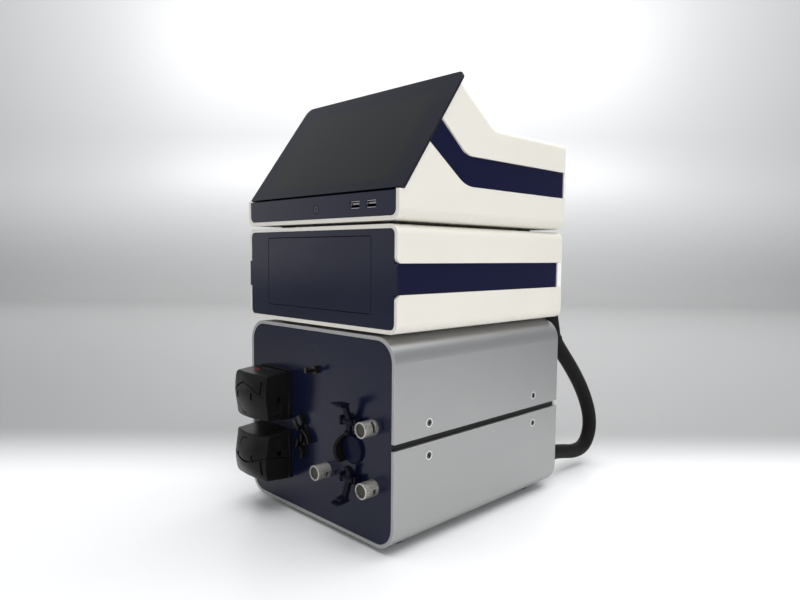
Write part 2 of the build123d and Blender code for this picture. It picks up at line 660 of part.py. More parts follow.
def clip_lever():
    """Upper clip, drawn about its pin at y = z = 0, thumb tab up and to the front."""
    arm = outline((-1.6, -13.0), (1.6, -13.0), (2.0, 2.0), (-4.2, 19.6), (-8.2, 18.8), (-2.2, 3.0))
    jaw = outline((1.6, -13.0), (-3.6, -13.0), (-4.4, -10.6), (-1.6, -8.6), (1.6, -8.6))
    lever = along_x(arm + jaw, -ARM_WIDE / 2, ARM_WIDE / 2)
    lever += rod_x(0, 0, CLIP_HUB, -HUB_WIDE / 2, HUB_WIDE / 2)
    plate = outline((-4.2, 18.8), (-4.2, 20.6), (-TAB_REACH, 22.0), (-TAB_REACH, 20.4))
    rib = outline((-3.4, 15.4), (-4.2, 20.0), (-14.6, 20.6), (-13.8, 17.0))
    tab = along_x(plate, -TAB_WIDE / 2, TAB_WIDE / 2)
    plan = Pos(0, -TAB_REACH / 2) * RectangleRounded(TAB_WIDE, TAB_REACH, 3.0)
    lever += tab & along_z(plan, 0, FAR)
    lever += along_x(rib, -TAB_WIDE / 3, TAB_WIDE / 3)
    return lever - rod_x(0, 0, CLIP_PIN_RADIUS + RUN_GAP, -TAB_WIDE, TAB_WIDE)


def clip_bracket():
    """Base plate with two ears, drawn about the pin."""
    inner, outer = CLIP_EAR
    back = -CLIP_PIN_Y
    plate = along_y(RectangleRounded(2 * outer, EAR_TALL, 1.5), back - EAR_PLATE, back)
    front = -EAR_TALL / 2 + 2
    profile = Pos((front + back) / 2, 0) * Rectangle(back - front, EAR_TALL)
    profile = fillet(profile.vertices().group_by(Axis.X)[0], 1.6)
    bracket = plate + both_sides(along_x(profile, inner, outer))
    return bracket - rod_x(0, 0, CLIP_PIN_RADIUS + 0.02, -FAR, FAR)


def clips():
    lever = clip_lever()
    bracket = clip_bracket()
    reach = CLIP_EAR[1] + 1.0
    pin = rod_x(0, 0, CLIP_PIN_RADIUS, -reach, reach)
    upper = Location((HOLD_X, CLIP_PIN_Y, HOLD_Z + CLIP_OFFSET))
    lower = Location((HOLD_X, CLIP_PIN_Y, HOLD_Z - CLIP_OFFSET))
    save("upper_clip_lever", lever.moved(upper))
    save("lower_clip_lever", mirror(lever, about=Plane.XY).moved(lower))
    save("clip_brackets", group([bracket.moved(upper), bracket.moved(lower)]))
    save("clip_pins", group([pin.moved(upper), pin.moved(lower)]))


# ======================================================================= tube guides
def tube_guides():
    """Holder for the junction of the tubes, and a hook above it."""
    holder = along_y(Ellipse(*JUNCTION_BASE), -JUNCTION_PLATE, 0)
    shoulder = JUNCTION_SOFT - JUNCTION_HIGH
    low = Plane(origin=(0, shoulder, 0), x_dir=(1, 0, 0), z_dir=(0, -1, 0))
    top = low.offset(JUNCTION_SOFT)
    for x, z, wide, tall, turn in JUNCTION_LOBES:
        place = Pos(x, z) * Rot(0, 0, turn)
        face = place * Ellipse(wide, tall)
        small = place * Ellipse(wide - JUNCTION_SOFT, tall - JUNCTION_SOFT)
        holder += along_y(face, shoulder, 0)
        holder += loft([low * face, top * small])
    ring = Circle(RIB_RADIUS) - Circle(RIB_RADIUS - RIB_THICK)
    rib = Pos(*RIB_MIDDLE) * (ring & arc_wedge(*RIB_ARC))
    holder += along_y(rib, -JUNCTION_HIGH, 0)
    save("tube_junction_holder", Pos(JUNCTION_X, 0, JUNCTION_Z) * holder)
    hook = rod_y(HOOK_X, HOOK_Z, HOOK_BOSS, -4.0, 0)
    hook += rod_y(HOOK_X, HOOK_Z + HOOK_BOSS / 2, HOOK_BOSS * 0.7, -5.0, 0)
    hook += rod_y(HOOK_X, HOOK_Z, HOOK_RADIUS, -HOOK_LONG, 0)
    tip = Pos(HOOK_X, HOOK_Z + 1.2) * SlotOverall(HOOK_TIP, 2 * HOOK_RADIUS, rotation=90)
    save("tube_hook", hook + along_y(tip, -HOOK_LONG, -HOOK_LONG + 2.4))


# ======================================================================= rear link cable
def cable_points():
    return [Vector(CABLE_X, y, z) for y, z in CABLE_ROUTE]


def corner_radii(points):
    """Each arc takes 0.45 of the shorter run beside it."""
    radii = []
    for before, here, after in zip(points, points[1:], points[2:]):
        arriving, leaving = here - before, after - here
        turn = math.radians(arriving.get_angle(leaving))
        radii.append(0.45 * min(arriving.length, leaving.length) / math.tan(turn / 2))
    return radii


def link_cable():
    points = cable_points()
    radii = corner_radii(points)
    print("cable radii", [round(r, 1) for r in radii])
    path = FilletPolyline(*points, radius=radii)
    cable = sweep(Plane(origin=path @ 0, z_dir=path % 0) * Circle(CABLE_RADIUS), path=path)
    expected = math.pi * CABLE_RADIUS**2 * path.length
    print("cable length", round(path.length, 1), "volume over expected",
          round(cable.volume / expected, 4))
    save("link_cable", cable)
    gland_and_plug(points)


def gland_and_plug(points):
    """Gland low on the lower unit's back; angled plug on the middle unit's back."""
    y, z = CABLE_ROUTE[-1]
    exit_way = (points[-1] - points[-2]).normalized()
    neck = Plane(origin=points[-1], z_dir=exit_way)
    gland = rod_y(CABLE_X, z, GLAND_NECK, LOW_DEPTH - 3 * PANEL, LOW_DEPTH)
    nut = Pos(CABLE_X, z) * RegularPolygon(CABLE_RADIUS + 6.5, 6, rotation=30)
    nut_end = LOW_DEPTH + 9
    gland += along_y(nut, LOW_DEPTH, nut_end)
    gland += along_y(Pos(CABLE_X, z) * Circle(CABLE_RADIUS + 5.2), nut_end, nut_end + 7)
    gland += extrude(neck * Circle(CABLE_RADIUS + COLLAR), y - LOW_DEPTH - 14)
    save("cable_gland", gland)
    high = Vector(CABLE_X, *BOOT_HIGH)
    low = Vector(CABLE_X, *BOOT_LOW)
    spine = low - high
    boot = Pos(high) * Sphere(BOOT_RADIUS) + Pos(low) * Sphere(BOOT_RADIUS)
    boot += extrude(Plane(origin=high, z_dir=spine) * Circle(BOOT_RADIUS), spine.length)
    leave = points[1] - points[0]
    collar = Plane(origin=points[0], z_dir=-leave)
    boot += extrude(collar * Circle(CABLE_RADIUS + COLLAR), (points[0] - low).length)
    square = RectangleRounded(BOOT_FLANGE, BOOT_FLANGE, 4)
    boot += along_y(Pos(CABLE_X, high.Z) * square, MID_DEPTH - PANEL, MID_DEPTH + 6)
    boot += rod_y(CABLE_X, high.Z, BOOT_RADIUS, MID_DEPTH, high.Y)
    save("link_cable_plug", boot)


# ======================================================================= middle unit
def middle_ring(inset_x, inset_z, radius, front, back):
    outer = rounded(-MID_HALF, MID_HALF, MID_BASE, MID_TOP, MID_CORNER)
    inner = rounded(-MID_HALF + inset_x, MID_HALF - inset_x, MID_BASE + inset_z,
                    MID_TOP - inset_z, radius)
    return along_y(outer - inner, front, back)


def skirt_zone(low, high, corner_z):
    """Side view of a cover: everything above or below the stripe, front corner rounded."""
    shape = outline((0, low), (MID_DEPTH, low), (MID_DEPTH, high), (0, high))
    shape = corner_fillet(shape, (0, corner_z), SKIRT_CORNER)
    return along_x(shape, -MID_HALF - 1, MID_HALF + 1)


def middle_covers():
    ring = middle_ring(MID_WALL_X, MID_WALL_Z, MID_CORNER - MID_WALL_X, 0, MID_DEPTH)
    foot, head = MID_STRIPE
    save("middle_unit_top_cover", ring & skirt_zone(head, MID_TOP + 1, head))
    save("middle_unit_bottom_cover", ring & skirt_zone(MID_BASE - 1, foot, foot))


def trough_section(side_x, floor_z, radius):
    """Bent U of chassis sheet as seen from the front, open at the top."""
    outer = rounded(-side_x, side_x, floor_z, floor_z + 300, radius)
    inner = rounded(-side_x + SHEET, side_x - SHEET, floor_z + SHEET, floor_z + 400,
                    radius - SHEET)
    return outer - inner


def middle_chassis():
    """Navy sheet-metal trough; raised bands on its sides show as the stripe."""
    foot, head = MID_STRIPE
    floor_z = MID_BASE + MID_WALL_Z
    side_x = MID_HALF - MID_WALL_X
    front, back = PANEL + 0.5, MID_DEPTH - PANEL - 0.5
    trough = along_y(trough_section(side_x, floor_z, MID_CORNER - MID_WALL_X), front, back)
    trough = trough & block(-side_x, side_x, front, back, floor_z, MID_TOP - MID_WALL_Z - 8)
    for side in (-1, 1):
        x0, x1 = sorted((side * (side_x - SHEET), side * (MID_HALF - STRIPE_SUNK)))
        trough += block(x0, x1, front, STRIPE_END, foot + SKIN_GAP, head - SKIN_GAP)
    save("middle_unit_chassis", trough)


def middle_front_panel():
    """Navy front plate; its ends wrap round to the sides level with the stripe."""
    foot, head = MID_STRIPE
    left, right = -MID_HALF + MID_WALL_X + SKIN_GAP, MID_HALF - MID_WALL_X - SKIN_GAP
    low, high = MID_BASE + MID_WALL_Z + SKIN_GAP, MID_TOP - MID_WALL_Z - SKIN_GAP
    face = rounded(left, right, low, high, MID_CORNER - MID_WALL_X)
    ends = rounded(-MID_HALF + SKIN_GAP, MID_HALF - SKIN_GAP, foot + SKIN_GAP, head - SKIN_GAP, 0.8)
    half = DRAWER_WIDE / 2 + DRAWER_SEAM
    door = rounded(DRAWER_MID_X - half, DRAWER_MID_X + half, DRAWER_LOW - DRAWER_SEAM,
                   DRAWER_HIGH + DRAWER_SEAM, 3.0)
    save("middle_unit_front_panel", along_y(face + ends - door, 0, PANEL))


def drawer():
    half = DRAWER_WIDE / 2
    face = rounded(DRAWER_MID_X - half, DRAWER_MID_X + half, DRAWER_LOW, DRAWER_HIGH, 2.5)
    front = along_y(face, 0, DRAWER_FACE)
    front = chamfer(front.edges().group_by(Axis.Y)[0], 0.35)
    save("drawer_front", front)
    half = TRAY_WIDE / 2
    x0, x1 = DRAWER_MID_X - half, DRAWER_MID_X + half
    tray = block(x0, x1, DRAWER_FACE, TRAY_BACK, TRAY_LOW, TRAY_HIGH)
    tray -= block(x0 + TRAY_WALL, x1 - TRAY_WALL, DRAWER_FACE + TRAY_WALL, TRAY_BACK - TRAY_WALL,
                  TRAY_LOW + 3, TRAY_HIGH + 1)
    tongue = block(x0 - 2.4, x0, DRAWER_FACE, TRAY_BACK, TRAY_LOW + 6, TRAY_LOW + 9)
    tray += tongue + Pos(TRAY_WIDE + 2.4, 0, 0) * tongue
    save("drawer_tray", tray)
    save("drawer_rails", group([rail(-1), rail(1)]))


def rail(side):
    """Grooved rail on a web that stands on the chassis floor."""
    floor_z = MID_BASE + MID_WALL_Z + SHEET
    near = DRAWER_MID_X + side * (TRAY_WIDE / 2 + SLIDE_GAP)
    far = near + side * RAIL_WIDE
    x0, x1 = sorted((near, far))
    body = block(x0, x1, 12, RAIL_BACK, floor_z, TRAY_LOW + 15)
    deep = near + side * (2.4 + SLIDE_GAP)
    g0, g1 = sorted((near - side, deep))
    groove = block(g0, g1, 11, RAIL_BACK + 1, TRAY_LOW + 6 - SLIDE_GAP, TRAY_LOW + 9 + SLIDE_GAP)
    return body - groove


def contact_head():
    """Portal over the shut tray that carries the electrode block and its contact bars."""
    floor_z = MID_BASE + MID_WALL_Z + SHEET
    front, back = HEAD_Y
    outer = HEAD_HALF + HEAD_SHEET
    portal = both_sides(block(HEAD_HALF, outer, front, back, floor_z, HEAD_TOP))
    portal += block(-outer, outer, front, back, HEAD_TOP - HEAD_SHEET, HEAD_TOP)
    portal += block(-ELECTRODE_HALF, ELECTRODE_HALF, front + 6, back - 6, ELECTRODE_LOW,
                    HEAD_TOP - HEAD_SHEET)
    bar_half = ELECTRODE_HALF - 6
    for row in (72, 84, 96):
        portal += block(-bar_half, bar_half, row, row + 2.4, ELECTRODE_LOW - BAR_TALL,
                        ELECTRODE_LOW)
    save("contact_head", portal)


def middle_rear_panel():
    """White rear plate; its ends close the stripe behind the navy band."""
    foot, head = MID_STRIPE
    left, right = -MID_HALF + MID_WALL_X + SKIN_GAP, MID_HALF - MID_WALL_X - SKIN_GAP
    low, high = MID_BASE + MID_WALL_Z + SKIN_GAP, MID_TOP - MID_WALL_Z - SKIN_GAP
    face = rounded(left, right, low, high, MID_CORNER - MID_WALL_X)
    back = MID_DEPTH - 0.2
    plate = along_y(face, MID_DEPTH - PANEL, back)
    plate -= vents(-50, 240, 6, 80, MID_DEPTH)
    hole = BOOT_FLANGE + 2 * SKIN_GAP
    plate -= along_y(Pos(CABLE_X, BOOT_HIGH[1]) * RectangleRounded(hole, hole, 4),
                     MID_DEPTH - 2 * PANEL, MID_DEPTH + 1)
    end = block(MID_HALF - MID_WALL_X, MID_HALF - SKIN_GAP, STRIPE_END + 0.2, back,
                foot + SKIN_GAP / 2, head - SKIN_GAP / 2)
    end += block(right - 4, MID_HALF - MID_WALL_X, MID_DEPTH - PANEL, back, foot + SKIN_GAP,
                 head - SKIN_GAP)
    save("middle_unit_rear_panel", plate + both_sides(end))


# ======================================================================= upper unit
def slant(start, break_y, flat_z, radius, back):
    """A line that falls from start, bends and runs level to the back."""
    corner = (break_y, flat_z)
    return FilletPolyline(start, corner, (back, flat_z), radius=[radius])


def glass_way():
    """Unit vectors up along the glass and out of its front face, in (y, z)."""
    dy, dz = GLASS_HIGH[0] - GLASS_LOW[0], GLASS_HIGH[1] - GLASS_LOW[1]
    long = math.hypot(dy, dz)
    return (dy / long, dz / long), (-dz / long, dy / long), long


def behind_glass(point, depth):
    up, out, long = glass_way()
    return (point[0] - out[0] * depth, point[1] - out[1] * depth)


def upper_outline(inset, over):
    """Side view of the upper unit, inset all round; over opens its front and back."""
    up, out, long = glass_way()
    low = behind_glass(GLASS_LOW, GLASS_THICK)
    steep = up[1] / up[0]
    slope = (ROOF_Z - ROOF_FRONT[1]) / (ROOF_BREAK - ROOF_FRONT[0])
    level = ROOF_FRONT[1] - inset * math.hypot(1, slope) - slope * ROOF_FRONT[0]
    roof_z = ROOF_Z - inset
    break_y = (roof_z - level) / slope
    top_y = (level - low[1] + steep * low[0]) / (steep - slope)
    top = (top_y, level + slope * top_y)
    back = UP_DEPTH - inset
    foot = UP_BASE + inset
    front = [(-over, foot), (-over, low[1] + out[1] * over)]
    front.append((low[0] + out[0] * over, low[1] + out[1] * over))
    front.append((top[0] + out[0] * over, top[1] + out[1] * over))
    roof = [(break_y, roof_z), (back, roof_z)]
    ledge = ROOF_Z - ROOF_BACK_ROUND - 2
    rear = [(back, ledge), (back + over, ledge), (back + over, foot)] if over else [(back, foot)]
    radii = [0.0] * 4 + [ROOF_BEND + inset, ROOF_BACK_ROUND - inset] + [0.0] * len(rear)
    return make_face(FilletPolyline(*front, *roof, *rear, radius=radii, close=True))


def upper_form():
    """Outer form of the upper unit, long edges rounded."""
    form = along_x(upper_outline(0, 0), -UP_HALF, UP_HALF)
    belly = rounded(-UP_HALF, UP_HALF, UP_BASE, UP_BASE + 300, UP_CORNER)
    form = form & along_y(belly, -10, UP_DEPTH + 10)
    roof = [e for e in form.edges() if is_roof_edge(e)]
    return fillet(roof, ROOF_EDGE)


def is_roof_edge(edge):
    """Long edges of the roof at either side, from the glass to the back."""
    middle = edge.center()
    at_side = abs(abs(middle.X) - UP_HALF) < 0.01 and edge.bounding_box().size.X < 0.01
    on_roof = middle.Z > ROOF_Z - 1 and middle.Y > ROOF_FRONT[0] + 1
    return at_side and on_roof and middle.Y < UP_DEPTH - ROOF_BACK_ROUND + 1


def side_zone(line, top):
    """Block across the unit, above or below a stripe edge."""
    start, break_y, flat_z, radius = line
    up, out, long = glass_way()
    ahead = (start[0] - 60, start[1] + 60 * (start[1] - flat_z) / (break_y - start[0]))
    edge = slant(ahead, break_y, flat_z, radius, UP_DEPTH + 5)
    far = 700 if top else 200
    border = Polyline((UP_DEPTH + 5, flat_z), (UP_DEPTH + 5, far), (ahead[0], far), ahead)
    return along_x(make_face(edge + border), -UP_HALF - 1, UP_HALF + 1)


def upper_covers(form):
    hollow = along_x(upper_outline(UP_WALL, 12), -UP_HALF + UP_WALL, UP_HALF - UP_WALL)
    belly = rounded(-UP_HALF + UP_WALL, UP_HALF - UP_WALL, UP_BASE + UP_WALL, UP_BASE + 300,
                    UP_CORNER - UP_WALL)
    shell = form - (hollow & along_y(belly, -20, UP_DEPTH + 20))
    save("upper_unit_top_cover", shell & side_zone(STRIPE_TOP, True))
    save("upper_unit_bottom_cover", shell & side_zone(STRIPE_FOOT, False))


def between_stripes(gap):
    under = Pos(0, 0, -gap) * side_zone(STRIPE_TOP, False)
    over = Pos(0, 0, gap) * side_zone(STRIPE_FOOT, True)
    return under & over


def upper_chassis():
    """Navy trough inside the covers; raised bands on its sides show as the stripe."""
    side_x = UP_HALF - UP_WALL
    front, back = PANEL + 3, UP_DEPTH - PANEL - 3.5
    trough = along_y(trough_section(side_x, UP_BASE + UP_WALL, UP_CORNER - UP_WALL), front, back)
    trough = trough & along_x(upper_outline(UP_WALL, 0), -side_x, side_x)
    trough = trough & behind_plane(GLASS_THICK + 1.0)
    stripe = between_stripes(SKIN_GAP) & behind_plane(GLASS_THICK + 0.2)
    for side in (-1, 1):
        x0, x1 = sorted((side * (side_x - SHEET), side * (UP_HALF - STRIPE_SUNK)))
        trough += along_x(upper_outline(0, 0), x0, x1) & stripe & block(x0, x1, 0, BAND_END, 0, 600)
    save("upper_unit_chassis", trough)


def behind_plane(depth):
    """Half-space behind the front face of the glass, as a large block."""
    up, out, long = glass_way()
    y, z = behind_glass(GLASS_LOW, depth)
    start = (y - up[0] * 300, z - up[1] * 300)
    end = (y + up[0] * 300, z + up[1] * 300)
    shape = outline(start, end, (end[0] + 600, end[1]), (start[0] + 600, start[1]))
    return along_x(shape, -200, 200)


def glass_plane(depth):
    """Work plane on the glass, origin at the middle of its lower edge."""
    up, out, long = glass_way()
    y, z = behind_glass(GLASS_LOW, depth)
    return Plane(origin=(0, y, z), x_dir=(1, 0, 0), z_dir=(0, -out[0], -out[1]))


def screen():
    up, out, long = glass_way()
    sheet = outline((-GLASS_HALF, 0), (GLASS_HALF, 0), (GLASS_HALF, -long), (-GLASS_HALF, -long))
    for x in (-GLASS_HALF, GLASS_HALF):
        sheet = corner_fillet(sheet, (x, -long), GLASS_ROUND)
        sheet = corner_fillet(sheet, (x, 0), 1.0)
    glass = extrude(glass_plane(0) * sheet, GLASS_THICK)
    save("screen_glass", glass)
    panel = Pos(0, -DISPLAY_RISE - DISPLAY_TALL / 2) * Rectangle(DISPLAY_WIDE, DISPLAY_TALL)
    display = extrude(glass_plane(GLASS_THICK) * panel, 7)
    save("display_module", display)


def front_strip():
    face = rounded(-STRIP_HALF, STRIP_HALF, STRIP_FOOT, STRIP_TOP + 20, STRIP_ROUND)
    face = face & Pos(0, (STRIP_FOOT + STRIP_TOP) / 2) * Rectangle(300, STRIP_TOP - STRIP_FOOT)
    strip = along_y(face, 0, PANEL)
    for x in USB_X:
        opening = Pos(x, USB_Z) * Rectangle(USB_WIDE + 0.4, USB_HIGH + 0.4)
        strip -= along_y(opening, -1, PANEL + 1)
    strip -= rod_y(BUTTON_X, BUTTON_Z, BUTTON_RADIUS + 0.3, -1, PANEL + 1)
    save("front_strip", strip)
    save("standby_button", rod_y(BUTTON_X, BUTTON_Z, BUTTON_RADIUS, 0, PANEL + 2))
    save("usb_sockets", group([usb_socket(x) for x in USB_X]))


def usb_socket(x):
    """Sheet shell set back in the strip, with its contact tongue."""
    wide, high = USB_WIDE - 2 * USB_SHEET, USB_HIGH - 2 * USB_SHEET
    shell = along_y(Pos(x, USB_Z) * Rectangle(USB_WIDE, USB_HIGH), USB_FRONT, USB_DEEP)
    shell -= along_y(Pos(x, USB_Z) * Rectangle(wide, high), -1, USB_DEEP - 1.5)
    tongue = along_y(Pos(x, USB_Z + 1.1) * Rectangle(wide - 1.6, 1.8), USB_FRONT + 1.4,
                     USB_DEEP - 1)
    return shell + tongue


def upper_rear():
    """White rear plate with the mains inlet and rocker, and vent slots."""
    low, high = UP_BASE + UP_WALL + SKIN_GAP, ROOF_Z - ROOF_BACK_ROUND - 2.6
    half = UP_HALF - UP_WALL - SKIN_GAP
    back = UP_DEPTH - REAR_SUNK
    plate = along_y(rounded(-half, half, low, high, 6.0), back - PANEL, back)
    end = block(half - 2, UP_HALF - SKIN_GAP, BAND_END + 0.2, UP_DEPTH - 0.2,
                STRIPE_FOOT[2] + SKIN_GAP / 2, STRIPE_TOP[2] - SKIN_GAP / 2)
    plate -= vents(40, 362, 7, 110, back)
    wide, high = INLET_BODY
    holes = Pos(INLET_X, INLET_Z) * RectangleRounded(wide + 0.6, high + 0.6, 2)
    wide, high = ROCKER_BODY
    holes += Pos(ROCKER_X, INLET_Z) * Rectangle(wide + 0.4, high + 0.6)
    plate -= along_y(holes, back - 2 * PANEL, UP_DEPTH)
    save("upper_unit_rear_panel", plate + both_sides(end))
    power_inlet(back)
    power_rocker(back)


def power_inlet(face):
    """Mains inlet and switch frame on one flange, with the pin of the rocker."""
    middle = (INLET_X + ROCKER_X) / 2 - 3
    inlet = along_y(Pos(middle, INLET_Z) * RectangleRounded(*INLET_FLANGE, 3), face, face + 2.4)
    inlet += along_y(Pos(INLET_X, INLET_Z) * RectangleRounded(*INLET_BODY, 2), face - 22, face)
    inlet += along_y(Pos(ROCKER_X, INLET_Z) * Rectangle(*ROCKER_BODY), face - 18, face)
    inlet -= along_y(Pos(INLET_X, INLET_Z) * RectangleRounded(*INLET_SOCKET, 1.5), face - 15,
                     face + 3)
    for x, z in ((-7, 1.5), (7, 1.5), (0, 5.0)):
        blade = Pos(INLET_X + x, INLET_Z + z) * Rectangle(2, 4)
        inlet += along_y(blade, face - 16, face - 1)
    wide, high = ROCKER_SIZE
    window = Pos(ROCKER_X, INLET_Z) * Rectangle(wide + 0.6, high + 1.6)
    inlet -= along_y(window, face - 12, face + 3)
    half = ROCKER_BODY[0] / 2 - 0.5
    pin = rod_x(face - ROCKER_PIN_DEEP, INLET_Z, ROCKER_PIN, ROCKER_X - half, ROCKER_X + half)
    save("power_inlet", inlet + pin)


def power_rocker(face):
    """Rocker of the mains switch, its lower half pressed in."""
    wide, high = ROCKER_SIZE
    bottom, half = face - 5.4, high / 2
    shape = outline((face - 3.0, INLET_Z - 2.6), (face + 4.6, INLET_Z - half),
                    (face + 2.6, INLET_Z), (face + 0.6, INLET_Z + half),
                    (face - 3.0, INLET_Z + 2.6), (bottom, INLET_Z + 1.6), (bottom, INLET_Z - 1.6))
    rocker = along_x(shape, ROCKER_X - wide / 2, ROCKER_X + wide / 2)
    rocker -= rod_x(face - ROCKER_PIN_DEEP, INLET_Z, ROCKER_PIN + RUN_GAP, ROCKER_X - wide,
                    ROCKER_X + wide)
    save("power_rocker", rocker)


def control_board():
    """Pulse generator board on four posts, with its transformer and capacitors."""
    base = UP_BASE + UP_WALL + SHEET
    top = base + POST_TALL + 2
    board = block(-BOARD_HALF, BOARD_HALF, *BOARD_Y, base + POST_TALL, top)
    for x in (-BOARD_HALF + 7, BOARD_HALF - 7):
        for y in (BOARD_Y[0] + 8, BOARD_Y[1] - 8):
            board += along_z(Pos(x, y) * Circle(4), base, base + POST_TALL)
    board += block(-80, -20, 90, 150, top, top + TRANSFORMER_TALL)
    for column in range(3):
        board += along_z(Pos(5 + 27 * column, 105) * Circle(12), top, top + CAPACITOR_TALL)
    board += block(0, 70, 150, 220, top, top + HEATSINK_TALL)
    save("control_board", board)


def main():
    os.makedirs("parts", exist_ok=True)
    lower_covers()
    lower_screws()
    lower_chassis()
    lower_front_panel()
    lower_rear_panel()
    feet()
    pump_heads()
    pump_motors()
    valves()
    cartridge_holder()
    clips()
    tube_guides()
    link_cable()
    middle_covers()
    middle_chassis()
    middle_front_panel()
    drawer()
    contact_head()
    middle_rear_panel()
    upper_covers(upper_form())
    upper_chassis()
    screen()
    front_strip()
    upper_rear()
    control_board()


main()
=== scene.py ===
"""Finishes, small printed details, link cable and soft light for the stacked electroporator."""
import json
import math

import bmesh
import bpy
from mathutils import Matrix, Vector


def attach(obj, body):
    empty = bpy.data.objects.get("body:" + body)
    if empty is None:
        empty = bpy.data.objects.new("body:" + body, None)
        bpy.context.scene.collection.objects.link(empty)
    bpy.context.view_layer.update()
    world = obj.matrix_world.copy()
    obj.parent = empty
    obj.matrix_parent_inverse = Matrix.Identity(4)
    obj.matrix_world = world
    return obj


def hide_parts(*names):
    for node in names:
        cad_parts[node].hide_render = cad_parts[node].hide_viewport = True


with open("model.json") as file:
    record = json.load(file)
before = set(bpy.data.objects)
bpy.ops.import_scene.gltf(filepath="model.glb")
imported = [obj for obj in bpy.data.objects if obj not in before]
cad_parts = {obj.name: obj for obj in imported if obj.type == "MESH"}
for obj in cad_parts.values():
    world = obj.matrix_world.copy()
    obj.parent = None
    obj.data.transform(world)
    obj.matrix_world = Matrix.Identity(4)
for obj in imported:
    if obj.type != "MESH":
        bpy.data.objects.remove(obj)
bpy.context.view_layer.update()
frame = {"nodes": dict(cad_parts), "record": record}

MM = 0.001
CENTRE_Y = 124.14         # the CAD frame's origin lies this far behind the lower front face


def spot(x, y, z):
    """A place given in millimetres from the lower unit's front face."""
    return Vector((x, y - CENTRE_Y, z)) * MM


# ------------------------------------------------------------------ shader maths
class Value:
    """A shader socket that takes part in Python sums."""

    def __init__(self, finish, socket):
        self.finish = finish
        self.socket = socket

    def _math(self, operation, first, second):
        return self.finish.node("ShaderNodeMath", {"operation": operation}, {0: first, 1: second})

    def __add__(self, other):
        return self._math("ADD", self, other)

    def __radd__(self, other):
        return self._math("ADD", other, self)

    def __sub__(self, other):
        return self._math("SUBTRACT", self, other)

    def __rsub__(self, other):
        return self._math("SUBTRACT", other, self)

    def __mul__(self, other):
        return self._math("MULTIPLY", self, other)

    def __rmul__(self, other):
        return self._math("MULTIPLY", other, self)

    def __pow__(self, other):
        return self._math("POWER", self, other)

    def sine(self):
        return self._math("SINE", self, 0.0)

    def absolute(self):
        return self._math("ABSOLUTE", self, 0.0)

    def most(self, other):
        return self._math("MAXIMUM", self, other)

    def between(self, low, high):
        """0 at low, 1 at high, smooth and held in between."""
        return self.finish.node("ShaderNodeMapRange", {"interpolation_type": "SMOOTHSTEP"},
                                {"Value": self, "From Min": low, "From Max": high})


class Finish:
    """One material and the nodes in it."""

    def __init__(self, name):
        self.material = bpy.data.materials.new(name)
        self.material.use_nodes = True
        self.tree = self.material.node_tree
        self.shader = next(n for n in self.tree.nodes if n.type == "BSDF_PRINCIPLED")

    def node(self, kind, settings=None, inputs=None, out=0):
        made = self.tree.nodes.new(kind)
        for key, value in (settings or {}).items():
            setattr(made, key, value)
        for key, value in (inputs or {}).items():
            self.feed(made.inputs[key], value)
        return Value(self, made.outputs[out])

    def feed(self, socket, value):
        if isinstance(value, Value):
            self.tree.links.new(value.socket, socket)
        else:
            socket.default_value = value

    def set(self, **inputs):
        for key, value in inputs.items():
            self.feed(self.shader.inputs[key.replace("_", " ")], value)
        return self

    def place(self):
        """The point on the piece, in metres in the shared frame at rest."""
        return self.node("ShaderNodeTexCoord", out="Object")

    def part(self, vector, axis):
        return self.node("ShaderNodeSeparateXYZ", None, {0: vector}, out=axis)

    def stretched(self, x, y, z):
        """The place with each axis scaled, for brushed and drawn surfaces."""
        return self.node("ShaderNodeVectorMath", {"operation": "MULTIPLY"},
                         {0: self.place(), 1: (x, y, z)})

    def noise(self, scale, detail=3.0, rough=0.55, where=None):
        return self.node("ShaderNodeTexNoise", None,
                         {"Vector": where or self.place(), "Scale": scale, "Detail": detail,
                          "Roughness": rough})

    def cells(self, scale, out="Distance"):
        return self.node("ShaderNodeTexVoronoi", None, {"Vector": self.place(), "Scale": scale},
                         out=out)

    def blend(self, factor, first, second):
        """Colour that goes from first to second as factor goes from 0 to 1."""
        return self.node("ShaderNodeMix", {"data_type": "RGBA"}, {0: factor, 6: first, 7: second},
                         out=2)

    def soft_edge(self, radius):
        """Normal of the surface with its edges rounded."""
        return self.node("ShaderNodeBevel", {"samples": 4}, {"Radius": radius})

    def edge_mask(self, radius):
        """1 along outer and inner edges, 0 on open faces."""
        flat = self.node("ShaderNodeNewGeometry", out="Normal")
        near = self.node("ShaderNodeVectorMath", {"operation": "DOT_PRODUCT"},
                         {0: self.soft_edge(radius), 1: flat}, out="Value")
        return (1.0 - near).between(0.01, 0.22)

    def relief(self, height, depth, rounding=None):
        """Normal of a surface that rises by depth as height goes from 0 to 1."""
        inputs = {"Height": height, "Distance": depth}
        if rounding:
            inputs["Normal"] = self.soft_edge(rounding)
        return self.node("ShaderNodeBump", None, inputs)


def grey(level):
    return (level, level, level, 1.0)


def shade(red, green, blue):
    return (red, green, blue, 1.0)


def scaled(colour, factor):
    return tuple(c * factor for c in colour[:3]) + (1.0,)


# ------------------------------------------------------------------ places of printed marks, painted shade and painted highlights
SOCKET_MOUTH = spot(0.0, 0.9, 344.7)
SCREW_DEPTHS = (49.8, 235.0)
SCREW_HEIGHTS = (93.2, 126.8)
STANDBY_BUTTON = spot(3.4, 0.0, 343.0)
LID_MARK = spot(-90.0, -19.0, 162.2)
GLASS_LOW_EDGE = spot(0.0, 3.5, 359.0)
GLASS_HIGH_EDGE = spot(0.0, 91.2, 482.0)
MARK_FADE = 0.00015        # how softly the edge of a mark ends


def offset_from(f, point):
    """Distances along X, Y and Z from a point, in metres."""
    away = f.node("ShaderNodeVectorMath", {"operation": "SUBTRACT"},
                  {0: f.place(), 1: tuple(point)})
    return f.part(away, "X"), f.part(away, "Y"), f.part(away, "Z")


